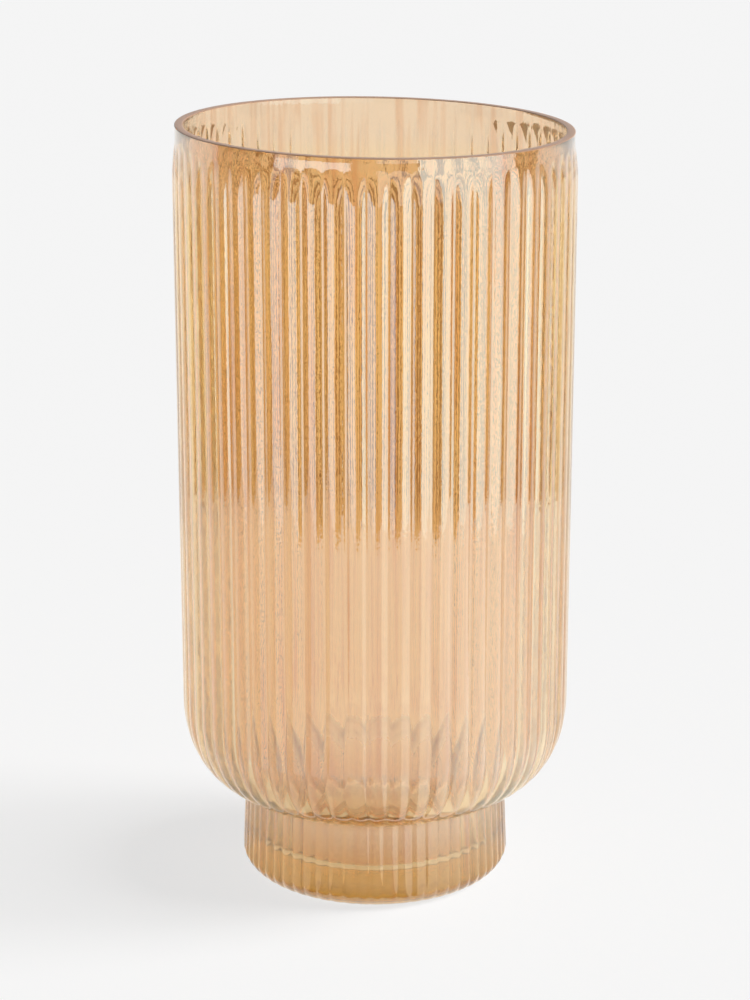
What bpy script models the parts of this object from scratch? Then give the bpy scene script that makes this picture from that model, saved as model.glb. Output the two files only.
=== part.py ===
"""Fluted art glass vase: a tall straight bowl on a short foot with a thick base.

Metres, +Z up. The origin is the centre of the face that the vase stands on. Each section
of glass is its own object: the bowl, the foot ring that carries it, and the base disc that
closes the foot. Their flutes run on from one section to the next.
"""

import math

import bmesh
import bpy

MM = 0.001

# Overall sizes
VASE_HEIGHT = 300.0 * MM  # table to rim, on the axis
BODY_RADIUS = 77.1 * MM  # over the rib crests

# Rim, ground flat by hand and a little out of level
BAND_SETBACK = 1.3 * MM  # the plain band lies this far inside the rib crests
RIM_WALL = 3.2 * MM
RIM_SLANT = math.radians(1.0)  # the rim falls towards +X
PLAIN_BAND = 5.5 * MM  # smooth glass between the rim and the rib tops
RIB_RUNOUT = 15.0 * MM  # height over which a rib rises from the band
RUNOUT_STEPS = 3

# Ribs, convex and side by side
RIB_COUNT = 60
RIB_DEPTH = 1.2 * MM  # crest to groove on the bowl
POINTS_PER_RIB = 4

# Shoulder, a superellipse from the bowl's straight wall to its lowest point over the well
SHOULDER_HEIGHT = 73.0 * MM  # where the straight wall ends
SHOULDER_BOTTOM = 35.9 * MM
SHOULDER_WALL = 4.2 * MM
SHOULDER_FULLNESS = 2.25  # the superellipse's exponent: 2 is an ellipse
SHOULDER_STEPS = 8

# Foot
WAIST_RADIUS = 52.5 * MM  # over the rib crests, where the shoulder meets the foot
FOOT_FLARE = 1.25 * MM  # the foot's wall opens this much towards the table
FOOT_EDGE_ROUNDING = 7.0 * MM
EDGE_STEPS = 4
WELL_WALL = 5.2 * MM  # glass between the waist's rib crests and the well inside
WELL_LIP_ROUNDING = 3.5 * MM
LIP_STEPS = 3
BASE_THICKNESS = 12.5 * MM

SEAM = 0.3 * MM  # clearance where two sections meet

BORE_STEPS = 90
CUTTER_OVERRUN = 10.0 * MM

RIM_RADIUS = BODY_RADIUS - BAND_SETBACK
FOOT_RADIUS = WAIST_RADIUS + FOOT_FLARE
WELL_RADIUS = WAIST_RADIUS - WELL_WALL


def clear_scene():
    for old in list(bpy.data.objects):
        bpy.data.objects.remove(old, do_unlink=True)


def glass_material(name, colour, roughness):
    """Transparent lustre glass in the colour of its section."""
    material = bpy.data.materials.new(name)
    material.use_nodes = True
    shader = material.node_tree.nodes["Principled BSDF"]
    shader.inputs["Base Color"].default_value = (*colour, 1.0)
    shader.inputs["Roughness"].default_value = roughness
    shader.inputs["Metallic"].default_value = 0.0
    shader.inputs["IOR"].default_value = 1.5
    shader.inputs["Transmission Weight"].default_value = 0.9
    material.diffuse_color = (*colour, 1.0)
    return material


def rim_height(x):
    """Height of the ground rim above the point x."""
    return VASE_HEIGHT - x * math.tan(RIM_SLANT)


def shoulder_curve(outer, inner, top, bottom, end):
    """(radius, height) points down a superellipse quarter, cut off at the radius end.

    The whole quarter runs from the radius outer at the height top to inner at bottom.
    """
    power = 2.0 / SHOULDER_FULLNESS
    last_angle = math.acos(((end - inner) / (outer - inner)) ** (1 / power))
    points = []
    for step in range(SHOULDER_STEPS + 1):
        angle = last_angle * step / SHOULDER_STEPS
        radius = inner + (outer - inner) * math.cos(angle) ** power
        height = top - (top - bottom) * math.sin(angle) ** power
        points.append((radius, height))
    return points


def outer_shoulder():
    return shoulder_curve(
        BODY_RADIUS, WELL_RADIUS, SHOULDER_HEIGHT, SHOULDER_BOTTOM, WAIST_RADIUS
    )


WAIST_HEIGHT = outer_shoulder()[-1][1]


def foot_radius(height):
    """Rib crest radius of the foot's straight, slightly conical wall."""
    share = (WAIST_HEIGHT - height) / (WAIST_HEIGHT - FOOT_EDGE_ROUNDING)
    return WAIST_RADIUS + (FOOT_RADIUS - WAIST_RADIUS) * share


def rib_depth(radius):
    """Ribs narrow with the radius, and get shallower with their width."""
    return RIB_DEPTH * radius / BODY_RADIUS


def ribbed(points):
    """Adds to each (radius, height) point the rib depth there."""
    return [(radius, height, rib_depth(radius)) for radius, height in points]


def bowl_outline():
    """The bowl's outside as (crest radius, height, rib depth), top to bottom."""
    outline = [(RIM_RADIUS, VASE_HEIGHT, 0.0)]
    for step in range(RUNOUT_STEPS + 1):
        share = step / RUNOUT_STEPS
        rise = 1 - (1 - share) ** 2
        radius = RIM_RADIUS + (BODY_RADIUS - RIM_RADIUS) * rise
        outline.append((radius, VASE_HEIGHT - PLAIN_BAND - RIB_RUNOUT * share, RIB_DEPTH * rise))
    outline += ribbed(outer_shoulder())
    bottom_radius, bottom_height, bottom_depth = outline[-1]
    outline[-1] = (bottom_radius, bottom_height + SEAM / 2, bottom_depth)
    return outline


def foot_ring_outline():
    """The foot ring's outside, from the waist down to the base disc's top."""
    top = WAIST_HEIGHT - SEAM / 2
    bottom = BASE_THICKNESS + SEAM / 2
    return ribbed([(foot_radius(top), top), (foot_radius(bottom), bottom)])


def base_disc_outline():
    """The base disc's outside, with its rounded bottom edge. The ribs die out under it."""
    top = BASE_THICKNESS - SEAM / 2
    outline = ribbed([(foot_radius(top), top)])
    for step in range(EDGE_STEPS + 1):
        angle = 0.5 * math.pi * step / EDGE_STEPS
        radius = FOOT_RADIUS - FOOT_EDGE_ROUNDING * (1 - math.cos(angle))
        height = FOOT_EDGE_ROUNDING * (1 - math.sin(angle))
        outline.append((radius, height, rib_depth(radius) * math.cos(angle)))
    return outline


def bowl_bore_outline():
    """The bowl's inside as (radius, height), from above the rim to below the seam."""
    inside = RIM_RADIUS - RIM_WALL
    lip_centre = WELL_RADIUS + WELL_LIP_ROUNDING
    floor = SHOULDER_BOTTOM + SHOULDER_WALL
    outline = [(inside, VASE_HEIGHT + CUTTER_OVERRUN)]
    outline += shoulder_curve(inside, lip_centre, SHOULDER_HEIGHT, floor, lip_centre)
    for step in range(1, LIP_STEPS + 1):
        angle = 0.5 * math.pi * step / LIP_STEPS
        radius = lip_centre - WELL_LIP_ROUNDING * math.sin(angle)
        height = floor - WELL_LIP_ROUNDING * (1 - math.cos(angle))
        outline.append((radius, height))
    return outline + [(WELL_RADIUS, WAIST_HEIGHT - CUTTER_OVERRUN)]


def well_bore_outline():
    """The foot ring's inside, past both of its ends."""
    return [
        (WELL_RADIUS, WAIST_HEIGHT + CUTTER_OVERRUN),
        (WELL_RADIUS, BASE_THICKNESS - CUTTER_OVERRUN),
    ]


def ring_of_points(mesh, radius, height, depth, count):
    """A closed loop of vertices, drawn in by up to depth between the rib crests."""
    loop = []
    for index in range(count):
        turn = index / count
        from_crest = (turn * RIB_COUNT + 0.5) % 1.0 - 0.5
        reach = radius - depth * (2 * from_crest) ** 2
        angle = 2 * math.pi * turn
        loop.append(mesh.verts.new((reach * math.cos(angle), reach * math.sin(angle), height)))
    return loop


def turned_mesh(name, outline, count, slanted_top):
    """A closed body of the outline's (radius, height, rib depth) rows, top row first."""
    mesh = bmesh.new()
    rows = [ring_of_points(mesh, *row, count) for row in outline]
    if slanted_top:
        for vertex in rows[0]:
            vertex.co.z = rim_height(vertex.co.x)
    for upper, lower in zip(rows, rows[1:]):
        for index in range(count):
            following = (index + 1) % count
            mesh.faces.new((upper[index], lower[index], lower[following], upper[following]))
    mesh.faces.new(rows[0])
    mesh.faces.new(reversed(rows[-1]))
    data = bpy.data.meshes.new(name)
    mesh.to_mesh(data)
    mesh.free()
    return data


def add_section(name, outline, material, slanted_top=False):
    """A fluted section of the vase as its own object."""
    data = turned_mesh(name, outline, RIB_COUNT * POINTS_PER_RIB, slanted_top)
    data.materials.append(material)
    data.shade_smooth()
    data.set_sharp_from_angle(angle=math.radians(35))
    section = bpy.data.objects.new(name, data)
    bpy.context.collection.objects.link(section)
    return section


def hollow(section, outline):
    """Cuts the section's inside, given as a turned (radius, height) outline."""
    name = section.name + "_bore"
    rows = [(radius, height, 0.0) for radius, height in outline]
    cutter = bpy.data.objects.new(name, turned_mesh(name, rows, BORE_STEPS, slanted_top=False))
    bpy.context.collection.objects.link(cutter)
    cutter.display_type = "WIRE"
    cutter.hide_render = True
    cut = section.modifiers.new("bore", "BOOLEAN")
    cut.operation = "DIFFERENCE"
    cut.solver = "EXACT"
    cut.object = cutter
    return cutter


def build_vase():
    clear_scene()
    peach_glass = glass_material("peach_lustre_glass", (0.91, 0.74, 0.56), 0.03)
    amber_glass = glass_material("amber_lustre_glass", (0.87, 0.66, 0.42), 0.03)

    bowl = add_section("bowl", bowl_outline(), peach_glass, slanted_top=True)
    foot_ring = add_section("foot_ring", foot_ring_outline(), amber_glass)
    base_disc = add_section("base_disc", base_disc_outline(), amber_glass)
    bowl_bore = hollow(bowl, bowl_bore_outline())
    well_bore = hollow(foot_ring, well_bore_outline())

    vase = bpy.data.objects.new("vase", None)
    bpy.context.collection.objects.link(vase)
    for piece in (bowl, foot_ring, base_disc, bowl_bore, well_bore):
        piece.parent = vase


build_vase()
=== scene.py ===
"""Looks of the fluted art glass vase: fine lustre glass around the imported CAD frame.

Metres, +Z up, in the CAD's own frame. The vase is two closed bodies of glass: the bowl, and
the foot with its thick base. Sizes come from the CAD nodes' boxes and from the named values
below, which repeat the vase's design where a box can't give them. Around the vase stand a
pale floor, cards that only the glass shows, two suns and the camera.
"""

import math
import random

import bmesh
import bpy
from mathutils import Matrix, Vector, noise


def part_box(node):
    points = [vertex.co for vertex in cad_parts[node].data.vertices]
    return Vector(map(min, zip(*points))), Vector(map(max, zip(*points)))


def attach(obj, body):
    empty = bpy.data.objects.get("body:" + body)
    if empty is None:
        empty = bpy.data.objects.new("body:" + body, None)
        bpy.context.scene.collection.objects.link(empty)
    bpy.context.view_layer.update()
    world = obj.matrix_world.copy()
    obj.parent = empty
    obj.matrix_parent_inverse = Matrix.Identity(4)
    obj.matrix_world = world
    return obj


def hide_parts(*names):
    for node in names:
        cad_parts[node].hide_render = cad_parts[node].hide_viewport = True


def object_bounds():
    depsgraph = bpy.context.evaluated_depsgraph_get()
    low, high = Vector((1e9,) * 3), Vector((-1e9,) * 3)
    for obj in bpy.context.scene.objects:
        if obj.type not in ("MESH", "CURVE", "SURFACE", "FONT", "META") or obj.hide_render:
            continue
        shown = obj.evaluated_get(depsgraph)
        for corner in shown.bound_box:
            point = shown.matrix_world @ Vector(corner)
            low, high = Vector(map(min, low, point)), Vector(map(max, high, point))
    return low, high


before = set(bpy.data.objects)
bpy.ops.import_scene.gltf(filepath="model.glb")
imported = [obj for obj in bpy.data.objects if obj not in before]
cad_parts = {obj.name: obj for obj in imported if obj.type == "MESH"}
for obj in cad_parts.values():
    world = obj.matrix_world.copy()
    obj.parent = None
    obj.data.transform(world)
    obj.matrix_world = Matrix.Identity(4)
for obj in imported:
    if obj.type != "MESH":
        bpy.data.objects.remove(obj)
cad_low, cad_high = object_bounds()

MM = 0.001

# From the frame
BODY_RADIUS = (cad_high.x - cad_low.x) / 2
FOOT_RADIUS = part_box("base_disc")[1][0]

# Rim, ground a little out of level: it falls towards +X
RIM_SLANT = math.radians(1.0)
RIM_RADIUS = BODY_RADIUS - 1.3 * MM
RIM_HEIGHT = cad_high.z - RIM_RADIUS * math.tan(RIM_SLANT)
RIM_WALL = 3.2 * MM
RIM_EASE = 0.35 * MM
PLAIN_BAND = 5.5 * MM

# Ribs, convex and side by side
RIB_COUNT = 60
RIB_DEPTH = 1.2 * MM
RIB_RUNOUT = 15.0 * MM
RIB_SHIFT = 0.045  # the most a rib lies aside, as a share of its width
SHALLOWEST_RIB = 0.88  # as a share of the full depth
RIB_WANDER = 0.05  # how strongly a rib strays on its way down, as a share of its width
WANDER_LENGTH = 45.0 * MM

# Shoulder, a superellipse from the straight wall to its lowest point
SHOULDER_HEIGHT = 73.0 * MM
SHOULDER_BOTTOM = 35.9 * MM
SHOULDER_END = 47.3 * MM  # the radius at which the outer curve would reach its lowest point
SHOULDER_WALL = 4.2 * MM
SHOULDER_POWER = 2 / 2.25

# Foot
WAIST_RADIUS = 52.5 * MM
WAIST_FILLET = 1.8 * MM
FOOT_ROUNDING = 7.0 * MM
FLAT_SOLE = 0.3 * MM  # below this height the ribs are gone
SOLE_RIBS = 0.25  # share of the ribs' depth that is left just above it
BASE_THICKNESS = 12.5 * MM
WELL_RADIUS = 44.5 * MM
WELL_LIP = 4.0 * MM
WELL_FLOOR_EASE = 6.0 * MM
WORKED_WIDTH = 3.0 * MM  # how far the lip's worked glass spreads on the bowl's floor
JOINT_GAP = 0.02 * MM  # half the gap between the two bodies

# Mesh fineness
POINTS_PER_RIB = 10
EASE_STEPS = 4
BAND_STEPS = 3
RUNOUT_STEPS = 16
WALL_STEPS = 40
SHOULDER_STEPS = 26
FILLET_STEPS = 8
FOOT_WALL_STEPS = 12
ROUNDING_STEPS = 10
INNER_WALL_STEPS = 20
INNER_SHOULDER_STEPS = 20
WELL_STEPS = 6

# Places in each body's list of materials
OUTSIDE = 0
BOWL_RIM, BOWL_JOINT, BOWL_INSIDE, BOWL_LIP = 1, 2, 3, 4
FOOT_JOINT, FOOT_INSIDE, FOOT_LIP = 1, 2, 3
FOOT_LIP_ROWS = 2

# Glass
GLASS_IOR = 1.5
LUSTRE_IOR = 1.9
RIPPLE_HEIGHT = 0.08 * MM
STREAK_STOPS = [(0.53, (1.0, 1.0, 1.0)), (0.68, (0.88, 0.69, 0.60))]

# The glass's tint from the table upwards, as (height, colour)
BODY_STOPS = [
    (60 * MM, (0.875, 0.66, 0.39)),
    (150 * MM, (0.89, 0.69, 0.43)),
    (200 * MM, (0.99, 0.76, 0.42)),
    (262 * MM, (0.99, 0.76, 0.43)),
    (285 * MM, (0.93, 0.75, 0.56)),
]
INSIDE_STOPS = [
    (60 * MM, (0.95, 0.73, 0.50)),
    (150 * MM, (0.95, 0.75, 0.53)),
    (200 * MM, (0.99, 0.785, 0.53)),
    (262 * MM, (0.99, 0.785, 0.54)),
    (285 * MM, (0.93, 0.76, 0.60)),
]
LIP_STOPS = [
    (36 * MM, (0.97, 0.84, 0.68)),
    (44 * MM, (0.95, 0.75, 0.52)),
]
# the foot's wall is deeper in colour than what the vase stands on
FOOT_STOPS = [
    (0.6 * MM, (0.97, 0.88, 0.74)),
    (4 * MM, (0.59, 0.34, 0.08)),
    (20 * MM, (0.70, 0.44, 0.14)),
    (36 * MM, (0.86, 0.63, 0.38)),
]
WELL_STOPS = [
    (12.6 * MM, (0.92, 0.79, 0.60)),
    (17 * MM, (0.90, 0.62, 0.33)),
    (36 * MM, (0.96, 0.80, 0.60)),
]

# Stage. It is turned with the camera, which looks a little off a rib's crest
VIEW_TURN = math.radians(-0.82)
FLOOR_RADIUS = 6.0
FLOOR_DROP = 0.2 * MM
FLOOR_SEGMENTS = 96
FLOOR_CARD_HEIGHT = 0.5 * MM
NEAR_CARD_HEIGHT = 0.4 * MM
NEAR_CARD_START = 0.056
NEAR_CARD_END = 0.155
NEAR_CARD_STEPS = 8

# Heights of the standing cards
LOW_CARD = 0.23
MIDDLE_CARD = 0.45
TALL_CARD = 1.2
BACK_CARD = 0.185

# Card colours, brighter than 1 where a lamp shines on the card
DARK = (0.32, 0.18, 0.06)
BROWN = (0.32, 0.24, 0.16)
SIDE_WHITE = (2.1, 2.1, 2.0)
PALE_WHITE = (1.7, 2.0, 2.2)
BRIGHT_WHITE = (2.15, 2.8, 2.85)

# Camera
CAMERA_DISTANCE = 1.005
CAMERA_HEIGHT = 0.4567
CAMERA_TILT = 16.875  # degrees downwards
CAMERA_LENS = 95.84


# Outlines


def shoulder_curve(outer, inner, top, bottom, end, steps):
    """(radius, height) points down a superellipse quarter, cut off at the radius end."""
    last_angle = math.acos(((end - inner) / (outer - inner)) ** (1 / SHOULDER_POWER))
    points = []
    for step in range(steps + 1):
        angle = last_angle * step / steps
        radius = inner + (outer - inner) * math.cos(angle) ** SHOULDER_POWER
        height = top - (top - bottom) * math.sin(angle) ** SHOULDER_POWER
        points.append((radius, height))
    return points


def outer_shoulder(end):
    """The shoulder's outside, down to the radius end."""
    return shoulder_curve(
        BODY_RADIUS, SHOULDER_END, SHOULDER_HEIGHT, SHOULDER_BOTTOM, end, SHOULDER_STEPS
    )


WAIST_HEIGHT = outer_shoulder(WAIST_RADIUS)[-1][1]


def arc(centre_radius, centre_height, size, start, end, steps):
    """(radius, height) points of an arc, from the angle start to end, in degrees."""
    points = []
    for step in range(steps + 1):
        angle = math.radians(start + (end - start) * step / steps)
        radius = centre_radius + size * math.cos(angle)
        height = centre_height + size * math.sin(angle)
        points.append((radius, height))
    return points


def between(top, bottom, steps):
    """Heights that part a straight wall into steps, without its two ends."""
    return [top + (bottom - top) * step / steps for step in range(1, steps)]


def split_at_waist(rows):
    """The rows above and below the waist, each ending beside it."""
    above = [row for row in rows if row[1] > WAIST_HEIGHT + JOINT_GAP]
    below = [row for row in rows if row[1] < WAIST_HEIGHT - JOINT_GAP]
    (outer, high), (inner, low) = above[-1], below[0]
    radius = outer + (inner - outer) * (high - WAIST_HEIGHT) / (high - low)
    above.append((radius, WAIST_HEIGHT + JOINT_GAP))
    below.insert(0, (radius, WAIST_HEIGHT - JOINT_GAP))
    return above, below


def outside_profile():
    """(radius, height) points down the shoulder, round the waist's fillet, to the foot's edge."""
    start = WAIST_RADIUS + WAIST_FILLET
    rows = outer_shoulder(start)
    centre = rows[-1][1] - WAIST_FILLET
    rows += arc(start, centre, WAIST_FILLET, 90, 180, FILLET_STEPS)[1:]
    for step in range(1, FOOT_WALL_STEPS):
        share = step / FOOT_WALL_STEPS
        radius = WAIST_RADIUS + (FOOT_RADIUS - WAIST_RADIUS) * share
        rows.append((radius, centre + (FOOT_ROUNDING - centre) * share))
    return rows


def inside_profile():
    """(radius, height) points of the inside, from the rim down to the edge of the well's floor."""
    inside = RIM_RADIUS - RIM_WALL
    top = RIM_HEIGHT - RIM_EASE
    lip_centre = WELL_RADIUS + WELL_LIP
    bowl_floor = SHOULDER_BOTTOM + SHOULDER_WALL
    lip_bottom = bowl_floor - WELL_LIP
    well_bottom = BASE_THICKNESS + WELL_FLOOR_EASE
    rows = arc(inside + RIM_EASE, top, RIM_EASE, 90, 180, EASE_STEPS)
    rows += [(inside, height) for height in between(top, SHOULDER_HEIGHT, INNER_WALL_STEPS)]
    rows += shoulder_curve(
        inside, lip_centre, SHOULDER_HEIGHT, bowl_floor, lip_centre, INNER_SHOULDER_STEPS
    )
    rows += arc(lip_centre, lip_bottom, WELL_LIP, 90, 180, ROUNDING_STEPS)[1:]
    rows += [(WELL_RADIUS, height) for height in between(lip_bottom, well_bottom, WELL_STEPS)]
    floor_radius = WELL_RADIUS - WELL_FLOOR_EASE
    rows += arc(floor_radius, well_bottom, WELL_FLOOR_EASE, 0, -90, ROUNDING_STEPS)
    return rows


OUTER_BOWL, OUTER_FOOT = split_at_waist(outside_profile())
INNER_BOWL, INNER_FOOT = split_at_waist(inside_profile())


def ribs_at(radius):
    """The ribs' depth, which gets less with their width."""
    return RIB_DEPTH * radius / BODY_RADIUS


def bowl_outside():
    """The bowl's outside as (radius, height, rib depth) rows: rim, plain band, ribs, shoulder."""
    edge = arc(RIM_RADIUS - RIM_EASE, RIM_HEIGHT - RIM_EASE, RIM_EASE, 90, 0, EASE_STEPS)
    band_bottom = RIM_HEIGHT - PLAIN_BAND
    wall_top = band_bottom - RIB_RUNOUT
    rows = [(radius, height, 0.0) for radius, height in edge]
    for height in between(RIM_HEIGHT - RIM_EASE, band_bottom, BAND_STEPS):
        rows.append((RIM_RADIUS, height, 0.0))
    for step in range(RUNOUT_STEPS + 1):
        share = step / RUNOUT_STEPS
        rise = 1 - (1 - share) ** 2
        radius = RIM_RADIUS + (BODY_RADIUS - RIM_RADIUS) * rise
        rows.append((radius, band_bottom - RIB_RUNOUT * share, RIB_DEPTH * rise))
    for height in between(wall_top, SHOULDER_HEIGHT, WALL_STEPS):
        rows.append((BODY_RADIUS, height, RIB_DEPTH))
    return rows + [(radius, height, ribs_at(radius)) for radius, height in OUTER_BOWL]


def foot_outside():
    """The foot's outside, from the waist down round the bottom edge, where the ribs die out."""
    edge = arc(FOOT_RADIUS - FOOT_ROUNDING, FOOT_ROUNDING, FOOT_ROUNDING, 0, -90, ROUNDING_STEPS)
    rows = [(radius, height, ribs_at(radius)) for radius, height in OUTER_FOOT]
    for radius, height in edge:
        fade = min(1.0, height / FOOT_ROUNDING + SOLE_RIBS) if height > FLAT_SOLE else 0.0
        rows.append((radius, height, ribs_at(radius) * fade))
    return rows


# Meshes

shape_random = random.Random(11)
RIB_SHIFTS = [shape_random.uniform(-RIB_SHIFT, RIB_SHIFT) for rib in range(RIB_COUNT)]
RIB_DEPTHS = [shape_random.uniform(SHALLOWEST_RIB, 1.0) for rib in range(RIB_COUNT)]


def rib_wander(rib, height):
    """How far a rib's line strays sideways at a height, as a share of its width."""
    return RIB_WANDER * noise.noise(Vector((rib * 7.31, height / WANDER_LENGTH, 1.7)))


def add_ring(mesh, radius, height, depth=0.0):
    """A closed loop of vertices, drawn in by up to depth between the rib crests."""
    loop = []
    count = RIB_COUNT * POINTS_PER_RIB
    for index in range(count):
        turn = index / count
        angle = 2 * math.pi * turn
        reach = radius
        if depth:
            rib = int(turn * RIB_COUNT + 0.5) % RIB_COUNT
            from_crest = (turn * RIB_COUNT + 0.5) % 1.0 - 0.5
            fade = 1 - abs(2 * from_crest)
            shift = (RIB_SHIFTS[rib] + rib_wander(rib, height)) * fade
            angle += shift * 2 * math.pi / RIB_COUNT
            reach -= depth * RIB_DEPTHS[rib] * (2 * from_crest) ** 2
        loop.append(mesh.verts.new((reach * math.cos(angle), reach * math.sin(angle), height)))
    return loop


def join_rings(mesh, upper, lower, slot=OUTSIDE, smooth=True):
    """Spans faces between two loops. They look away from the axis if upper lies above lower."""
    count = len(upper)
    for index in range(count):
        following = (index + 1) % count
        face = mesh.faces.new((upper[index], lower[index], lower[following], upper[following]))
        face.material_index = slot
        face.smooth = smooth


def slant_rim(vertex):
    """Tilts the top of the bowl as the ground rim is, fading out below the ribs' tops."""
    start = RIM_HEIGHT - PLAIN_BAND - RIB_RUNOUT
    share = min(1.0, max(0.0, (vertex.co.z - start) / (RIM_HEIGHT - start)))
    vertex.co.z -= vertex.co.x * math.tan(RIM_SLANT) * share


def add_object(name, mesh, materials):
    """Makes an object of a finished mesh, with its materials in order."""
    data = bpy.data.meshes.new(name)
    mesh.to_mesh(data)
    mesh.free()
    for material in materials:
        data.materials.append(material)
    added = bpy.data.objects.new(name, data)
    bpy.context.scene.collection.objects.link(added)
    return added


def bowl_inside_slot(row):
    """The material of the inner faces between a row and the next one."""
    if row < EASE_STEPS:
        return BOWL_RIM
    if INNER_BOWL[row + 1][0] < WELL_RADIUS + WELL_LIP + WORKED_WIDTH:
        return BOWL_LIP
    return BOWL_INSIDE


def make_bowl(materials):
    """The bowl, open above, from the ground rim down to the waist."""
    mesh = bmesh.new()
    outer = [add_ring(mesh, *row) for row in bowl_outside()]
    inner = [add_ring(mesh, *row) for row in INNER_BOWL]
    for row, (upper, lower) in enumerate(zip(outer, outer[1:])):
        join_rings(mesh, upper, lower, BOWL_RIM if row < EASE_STEPS else OUTSIDE)
    join_rings(mesh, outer[-1], inner[-1], BOWL_JOINT, smooth=False)
    for row, (upper, lower) in enumerate(zip(inner, inner[1:])):
        join_rings(mesh, lower, upper, bowl_inside_slot(row))
    join_rings(mesh, inner[0], outer[0], BOWL_RIM)
    for vertex in mesh.verts:
        slant_rim(vertex)
    return add_object("bowl_glass", mesh, materials)


def make_foot(materials):
    """The hollow foot with its thick base, from the waist down."""
    mesh = bmesh.new()
    outer = [add_ring(mesh, *row) for row in foot_outside()]
    inner = [add_ring(mesh, *row) for row in INNER_FOOT]
    for upper, lower in zip(outer, outer[1:]):
        join_rings(mesh, upper, lower)
    for row, (upper, lower) in enumerate(zip(inner, inner[1:])):
        join_rings(mesh, lower, upper, FOOT_LIP if row < FOOT_LIP_ROWS else FOOT_INSIDE)
    join_rings(mesh, inner[0], outer[0], FOOT_JOINT, smooth=False)
    mesh.faces.new(reversed(outer[-1]))
    well_floor = mesh.faces.new(inner[-1])
    well_floor.material_index = FOOT_INSIDE
    return add_object("foot_glass", mesh, materials)


# Materials


def add_ramp(tree, share, stops):
    """Turns a share from 0 to 1 into a colour, from (share, colour) stops."""
    ramp = tree.nodes.new("ShaderNodeValToRGB")
    points = ramp.color_ramp.elements
    while len(points) < len(stops):
        points.new(0.5)
    for point, (position, colour) in zip(points, stops):
        point.position = position
        point.color = (*colour, 1.0)
    tree.links.new(share, ramp.inputs["Fac"])
    return ramp.outputs["Color"]


def add_noise(tree, place, squash, scale, detail, roughness):
    """A noise drawn out upwards: the smaller squash is, the longer its marks are."""
    stretch = tree.nodes.new("ShaderNodeMapping")
    stretch.inputs["Scale"].default_value = (1.0, 1.0, squash)
    pattern = tree.nodes.new("ShaderNodeTexNoise")
    pattern.inputs["Scale"].default_value = scale
    pattern.inputs["Detail"].default_value = detail
    pattern.inputs["Roughness"].default_value = roughness
    tree.links.new(place, stretch.inputs["Vector"])
    tree.links.new(stretch.outputs["Vector"], pattern.inputs["Vector"])
    return pattern.outputs["Fac"]


def height_colour(tree, place, stops):
    """A colour that changes with the height above the table, from (height, colour) stops."""
    split = tree.nodes.new("ShaderNodeSeparateXYZ")
    share = tree.nodes.new("ShaderNodeMapRange")
    share.inputs["From Max"].default_value = RIM_HEIGHT
    tree.links.new(place, split.inputs["Vector"])
    tree.links.new(split.outputs["Z"], share.inputs["Value"])
    shares = [(height / RIM_HEIGHT, colour) for height, colour in stops]
    return add_ramp(tree, share.outputs["Result"], shares)


def streak_colour(tree, place):
    """Fine upright streaks, where the lustre pooled a little thicker and redder."""
    streaks = add_noise(tree, place, squash=0.035, scale=230.0, detail=2.0, roughness=0.5)
    return add_ramp(tree, streaks, STREAK_STOPS)


def ripple_normal(tree, place):
    """The fine unevenness of blown glass."""
    bump = tree.nodes.new("ShaderNodeBump")
    bump.inputs["Strength"].default_value = 1.0
    bump.inputs["Distance"].default_value = RIPPLE_HEIGHT
    ripple = add_noise(tree, place, squash=0.45, scale=200.0, detail=4.0, roughness=0.6)
    tree.links.new(ripple, bump.inputs["Height"])
    return bump.outputs["Normal"]


def glass(name, stops, film=None, roughness=0.0):
    """Rippled clear glass in its tint. With a film, it carries the lustre's reflecting coat."""
    material = bpy.data.materials.new(name)
    material.use_nodes = True
    tree = material.node_tree
    shader = tree.nodes["Principled BSDF"]
    shader.inputs["Roughness"].default_value = roughness
    shader.inputs["IOR"].default_value = GLASS_IOR
    shader.inputs["Transmission Weight"].default_value = 1.0
    place = tree.nodes.new("ShaderNodeTexCoord").outputs["Object"]
    blend = tree.nodes.new("ShaderNodeMix")
    blend.data_type = "RGBA"
    blend.blend_type = "MULTIPLY"
    blend.inputs["Factor"].default_value = 1.0
    tree.links.new(height_colour(tree, place, stops), blend.inputs["A"])
    tree.links.new(streak_colour(tree, place), blend.inputs["B"])
    tree.links.new(blend.outputs["Result"], shader.inputs["Base Color"])
    normal = ripple_normal(tree, place)
    tree.links.new(normal, shader.inputs["Normal"])
    if film:
        shader.inputs["Coat Weight"].default_value = 1.0
        shader.inputs["Coat Roughness"].default_value = 0.0
        shader.inputs["Coat IOR"].default_value = LUSTRE_IOR
        shader.inputs["Coat Tint"].default_value = (*film, 1.0)
        tree.links.new(normal, shader.inputs["Coat Normal"])
    return material


def ground_glass(name, colour):
    """The rim's ground face, matt and only a little see-through."""
    material = bpy.data.materials.new(name)
    material.use_nodes = True
    shader = material.node_tree.nodes["Principled BSDF"]
    shader.inputs["Base Color"].default_value = (*colour, 1.0)
    shader.inputs["Roughness"].default_value = 0.4
    shader.inputs["IOR"].default_value = GLASS_IOR
    shader.inputs["Transmission Weight"].default_value = 0.3
    return material


def fused_joint(name):
    """The faces where two sections are fused hot: nothing shows there."""
    material = bpy.data.materials.new(name)
    material.use_nodes = True
    tree = material.node_tree
    tree.nodes.clear()
    clear = tree.nodes.new("ShaderNodeBsdfTransparent")
    output = tree.nodes.new("ShaderNodeOutputMaterial")
    tree.links.new(clear.outputs["BSDF"], output.inputs["Surface"])
    return material


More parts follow.
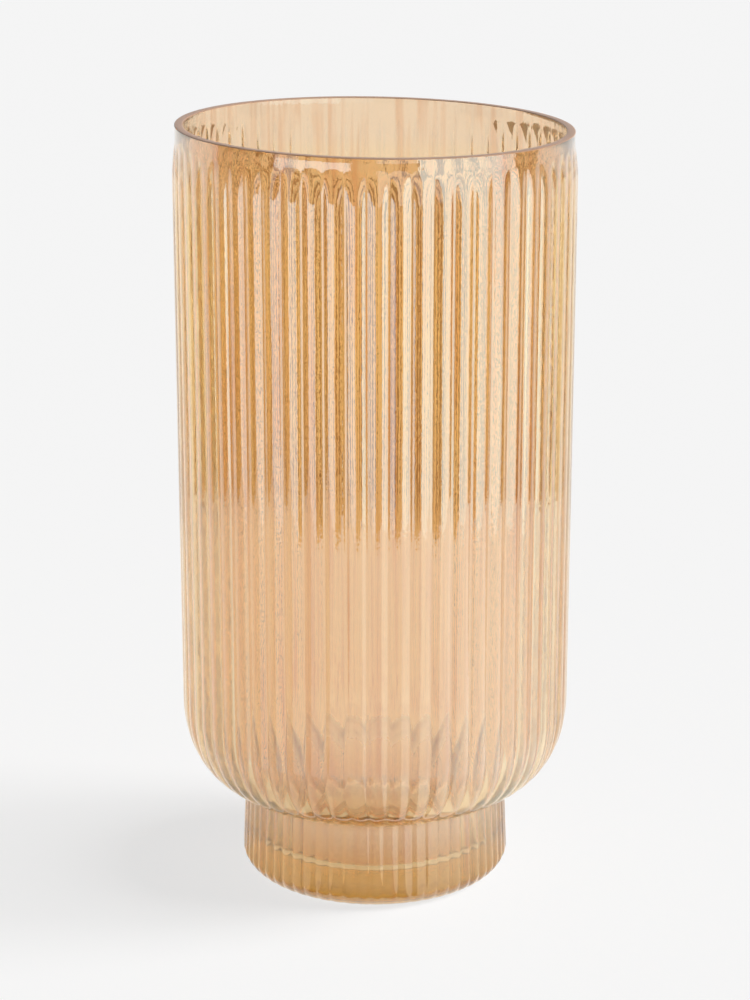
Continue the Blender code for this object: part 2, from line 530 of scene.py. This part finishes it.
bowl_lustre = glass("bowl_lustre", BODY_STOPS, film=(1.0, 0.97, 0.90))
bowl_inside = glass("bowl_inside", INSIDE_STOPS)
worked_lip = glass("worked_lip", LIP_STOPS, roughness=0.38)
rim_ground = ground_glass("rim_ground", (0.52, 0.29, 0.18))
foot_lustre = glass("foot_lustre", FOOT_STOPS, film=(1.0, 0.94, 0.84))
foot_inside = glass("foot_inside", WELL_STOPS, roughness=0.2)
joint = fused_joint("fused_joint")

bowl = make_bowl([bowl_lustre, rim_ground, joint, bowl_inside, worked_lip])
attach(bowl, "root")
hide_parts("bowl")

foot = make_foot([foot_lustre, joint, foot_inside, worked_lip])
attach(foot, "root")
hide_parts("foot_ring", "base_disc")


# Stage


def turned(x, y, z=0.0):
    """A place on the stage, turned with the camera's azimuth."""
    return Vector(
        (
            x * math.cos(VIEW_TURN) - y * math.sin(VIEW_TURN),
            x * math.sin(VIEW_TURN) + y * math.cos(VIEW_TURN),
            z,
        )
    )


def pale_table():
    """A pale matt floor, whose own glow evens out its shade."""
    material = bpy.data.materials.new("pale_table")
    material.use_nodes = True
    shader = material.node_tree.nodes["Principled BSDF"]
    shader.inputs["Base Color"].default_value = (0.25, 0.25, 0.25, 1)
    shader.inputs["Roughness"].default_value = 0.9
    shader.inputs["Specular IOR Level"].default_value = 0.0
    shader.inputs["Emission Color"].default_value = (1, 1, 1, 1)
    shader.inputs["Emission Strength"].default_value = 0.728
    return material


def make_floor():
    """A wide disc just under the foot."""
    mesh = bmesh.new()
    bmesh.ops.create_circle(mesh, cap_ends=True, radius=FLOOR_RADIUS, segments=FLOOR_SEGMENTS)
    floor = add_object("floor", mesh, [pale_table()])
    floor.location.z = -FLOOR_DROP


def add_card(name, mesh, colour, seen_through=False):
    """Sets a glowing card on the stage, unseen by the camera itself.

    It shows in the glass's reflections, and through the glass only if seen_through.
    Returns the node that gives it its colour.
    """
    material = bpy.data.materials.new(name)
    material.use_nodes = True
    tree = material.node_tree
    tree.nodes.clear()
    emission = tree.nodes.new("ShaderNodeEmission")
    emission.inputs["Color"].default_value = (*colour, 1)
    output = tree.nodes.new("ShaderNodeOutputMaterial")
    tree.links.new(emission.outputs["Emission"], output.inputs["Surface"])
    card = add_object(name, mesh, [material])
    card.visible_camera = False
    card.visible_shadow = False
    card.visible_diffuse = False
    card.visible_transmission = seen_through
    return emission


def make_card(name, corners, height, colour, seen_through=False):
    """A card that stands on the line through its (x, y) corners."""
    mesh = bmesh.new()
    low = [mesh.verts.new(turned(x, y)) for x, y in corners]
    high = [mesh.verts.new(turned(x, y, height)) for x, y in corners]
    for index in range(len(corners) - 1):
        mesh.faces.new((low[index], low[index + 1], high[index + 1], high[index]))
    add_card(name, mesh, colour, seen_through)


def make_floor_card(name, corners, colour):
    """A card that lies just above the table in front of the vase."""
    mesh = bmesh.new()
    mesh.faces.new([mesh.verts.new(turned(x, y, FLOOR_CARD_HEIGHT)) for x, y in corners])
    add_card(name, mesh, colour)


def make_near_card(name, start, end, near, far):
    """The table right before the foot, which takes the glass's amber light and fades outwards.

    It spans the degrees from start to end, and its colour runs from near to far.
    """
    mesh = bmesh.new()
    inner, outer = [], []
    for step in range(NEAR_CARD_STEPS + 1):
        turn = math.radians(start + (end - start) * step / NEAR_CARD_STEPS)
        for loop, radius in ((inner, NEAR_CARD_START), (outer, NEAR_CARD_END)):
            place = turned(radius * math.cos(turn), radius * math.sin(turn), NEAR_CARD_HEIGHT)
            loop.append(mesh.verts.new(place))
    for step in range(NEAR_CARD_STEPS):
        mesh.faces.new((inner[step], outer[step], outer[step + 1], inner[step + 1]))
    emission = add_card(name, mesh, near)
    tree = emission.id_data
    place = tree.nodes.new("ShaderNodeTexCoord")
    reach = tree.nodes.new("ShaderNodeVectorMath")
    reach.operation = "LENGTH"
    share = tree.nodes.new("ShaderNodeMapRange")
    share.inputs["From Min"].default_value = NEAR_CARD_START
    share.inputs["From Max"].default_value = NEAR_CARD_END
    tree.links.new(place.outputs["Object"], reach.inputs[0])
    tree.links.new(reach.outputs["Value"], share.inputs["Value"])
    colour = add_ramp(tree, share.outputs["Result"], [(0.0, near), (1.0, far)])
    tree.links.new(colour, emission.inputs["Color"])


def make_front_cards():
    """Dark, pale and bright cards before the vase and to its right, which the ribs mirror as stripes."""
    zig_zag = [
        (-0.121, -0.545),
        (-0.07, -0.585),
        (-0.02, -0.55),
        (0.04, -0.59),
        (0.10, -0.555),
        (0.17, -0.59),
        (0.24, -0.55),
    ]
    make_card("dark_front", zig_zag, LOW_CARD, DARK)
    make_card("pale_left", [(-0.121, -0.57), (-0.60, -0.42)], LOW_CARD, PALE_WHITE)
    make_card("bright_right", [(0.24, -0.57), (0.60, -0.20)], TALL_CARD, BRIGHT_WHITE)
    make_card("side_right", [(0.60, -0.20), (0.60, -0.10)], TALL_CARD, SIDE_WHITE)
    make_card("upper_left", [(-0.53, -0.60), (0.018, -0.60)], MIDDLE_CARD, DARK)
    make_card("upper_middle", [(0.24, -0.60), (0.48, -0.60)], MIDDLE_CARD, DARK)


def make_side_and_back_cards():
    """Dark cards beside and behind the vase, which darken the glass towards its edges."""
    left_fold = [(-0.17, 0.40), (-0.14, 0.52), (-0.10, 0.42)]
    right_fold = [(0.06, 0.41), (0.10, 0.52), (0.15, 0.40)]
    make_card("dark_left", [(-0.60, -0.42), (-0.60, 0.05)], TALL_CARD, DARK, seen_through=True)
    make_card("dark_right", [(0.60, -0.10), (0.60, 0.10)], TALL_CARD, DARK, seen_through=True)
    make_card("back_left", left_fold, BACK_CARD, BROWN, seen_through=True)
    make_card("back_right", right_fold, BACK_CARD, BROWN, seen_through=True)


def make_table_cards():
    """The lit table before the vase, brighter to the right, as the lower ribs mirror it."""
    left = [(-0.6, -0.56), (-0.6, 0.02), (-0.16, 0.0), (-0.12, -0.11)]
    front = [(-0.12, -0.11), (-0.06, -0.15), (0.04, -0.155), (0.24, -0.56), (-0.6, -0.56)]
    right = [(0.04, -0.155), (0.12, -0.10), (0.16, 0.0), (0.6, 0.0), (0.6, -0.56), (0.24, -0.56)]
    make_floor_card("table_left", left, (0.85, 0.87, 0.87))
    make_floor_card("table_front", front, (1.2, 1.4, 1.5))
    make_floor_card("table_right", right, (1.7, 2.0, 2.05))
    make_near_card("table_near_left", 180, 238, (0.75, 0.62, 0.45), (1.0, 1.05, 1.08))
    make_near_card("table_near_front", 238, 288, (0.22, 0.13, 0.05), (1.1, 1.2, 1.25))
    make_near_card("table_near_right", 288, 360, (1.0, 0.9, 0.72), (1.8, 2.05, 2.1))


def make_world():
    """An even pale grey room, which lights the glass but not the floor."""
    world = bpy.data.worlds.new("studio")
    bpy.context.scene.world = world
    world.use_nodes = True
    world.node_tree.nodes["Background"].inputs["Color"].default_value = (0.913, 0.913, 0.913, 1)
    world.cycles_visibility.diffuse = False


def make_sun(name, energy, spread, direction, blockers=()):
    """A soft light from the right. Named blockers alone stop it, or everything if none are."""
    sun_data = bpy.data.lights.new(name, "SUN")
    sun_data.energy = energy
    sun_data.angle = math.radians(spread)
    sun = bpy.data.objects.new(name, sun_data)
    bpy.context.scene.collection.objects.link(sun)
    sun.visible_glossy = False
    sun.visible_transmission = False
    sun.rotation_mode = "QUATERNION"
    sun.rotation_quaternion = Vector(direction).to_track_quat("-Z", "Y")
    if blockers:
        group = bpy.data.collections.new(name + "_blockers")
        for piece in blockers:
            group.objects.link(piece)
        sun.light_linking.blocker_collection = group


def make_camera():
    """A long lens looking down at the vase from the front."""
    camera_data = bpy.data.cameras.new("camera")
    camera_data.sensor_width = 36
    camera_data.lens = CAMERA_LENS
    camera = bpy.data.objects.new("camera", camera_data)
    bpy.context.scene.collection.objects.link(camera)
    camera.location = turned(0.0, -CAMERA_DISTANCE, CAMERA_HEIGHT)
    camera.rotation_euler = (math.radians(90 - CAMERA_TILT), 0, VIEW_TURN)
    bpy.context.scene.camera = camera


make_floor()
make_front_cards()
make_side_and_back_cards()
make_table_cards()
make_world()
make_sun("key", 1.7, 20, (-0.77, -0.02, -0.64))
make_sun("low_key", 2.8, 26, (-0.90, -0.02, -0.43), (foot,))
make_camera()

scene = bpy.context.scene
scene.view_settings.view_transform = "Standard"
scene.cycles.max_bounces = 24
scene.cycles.transmission_bounces = 24
scene.cycles.glossy_bounces = 12
